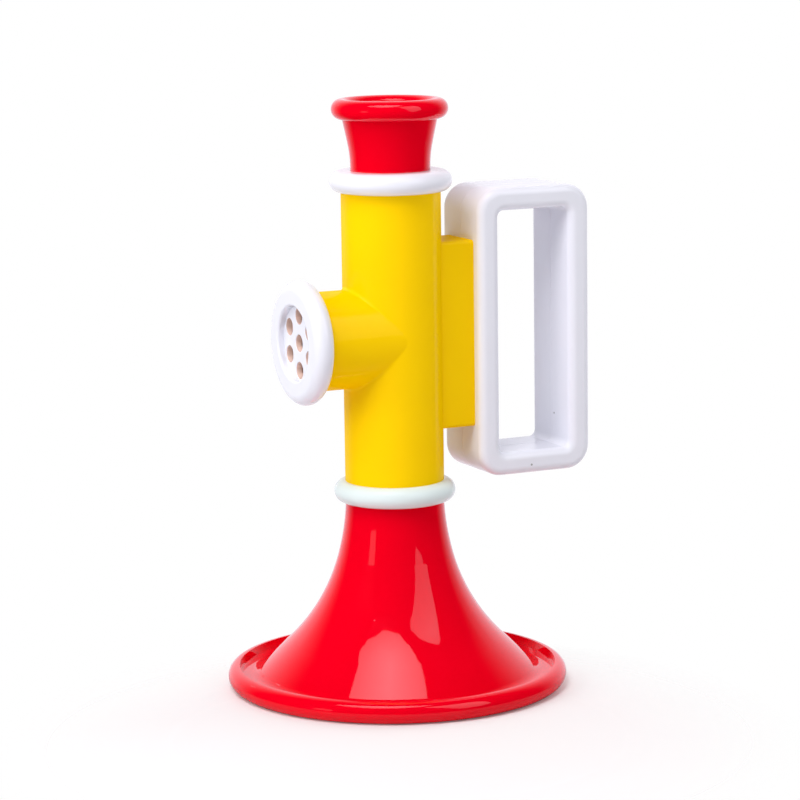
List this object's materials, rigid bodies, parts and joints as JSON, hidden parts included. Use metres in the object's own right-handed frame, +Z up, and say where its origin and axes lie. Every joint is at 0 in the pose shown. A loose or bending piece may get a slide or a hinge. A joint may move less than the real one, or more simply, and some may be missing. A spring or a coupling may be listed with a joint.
{
  "type": "toy trumpet",
  "caption": "Chunky plastic toy trumpet that stands on its flared bell, with a cup mouthpiece, a looped side handle and a perforated side port over a sounding reed.",
  "frame": {"origin": "the middle of the bell's mouth, on the tube's axis, at the floor that the bell stands on", "axes": "+Z up the tube towards the mouthpiece, +X towards the handle, -X towards the perforated port, and the handle's loop opens along Y"},
  "size_m": [0.1201, 0.1104, 0.1906],
  "materials": {
    "red": "glossy moulded",
    "yellow": "glossy moulded",
    "white": "glossy moulded",
    "pale_mint": "glossy moulded",
    "natural_plastic": "satin moulded",
    "reed_brass": "rolled"
  },
  "bodies": {
    "trumpet": {"bell": "red", "bottom_ring": "pale_mint", "body": "yellow", "top_ring": "white", "mouthpiece": "red", "grille": "white", "handle_front_half": "white", "handle_rear_half": "white", "reed_holder": "natural_plastic", "reed_plate": "reed_brass", "reed_root": "reed_brass", "reed_rivet": "reed_brass", "reed_end_cap": "natural_plastic"},
    "reed": {"reed_blade": "reed_brass"}
  },
  "joints": [
    {"name": "reed_flex", "type": "hinge", "parent": "trumpet", "child": "reed", "pos_m": [0, -0.00428, 0.1388], "axis": [1, 0, 0], "range_deg": [-3.5, 3.5], "stiffness_Nm_per_rad": 0.08}
  ]
}
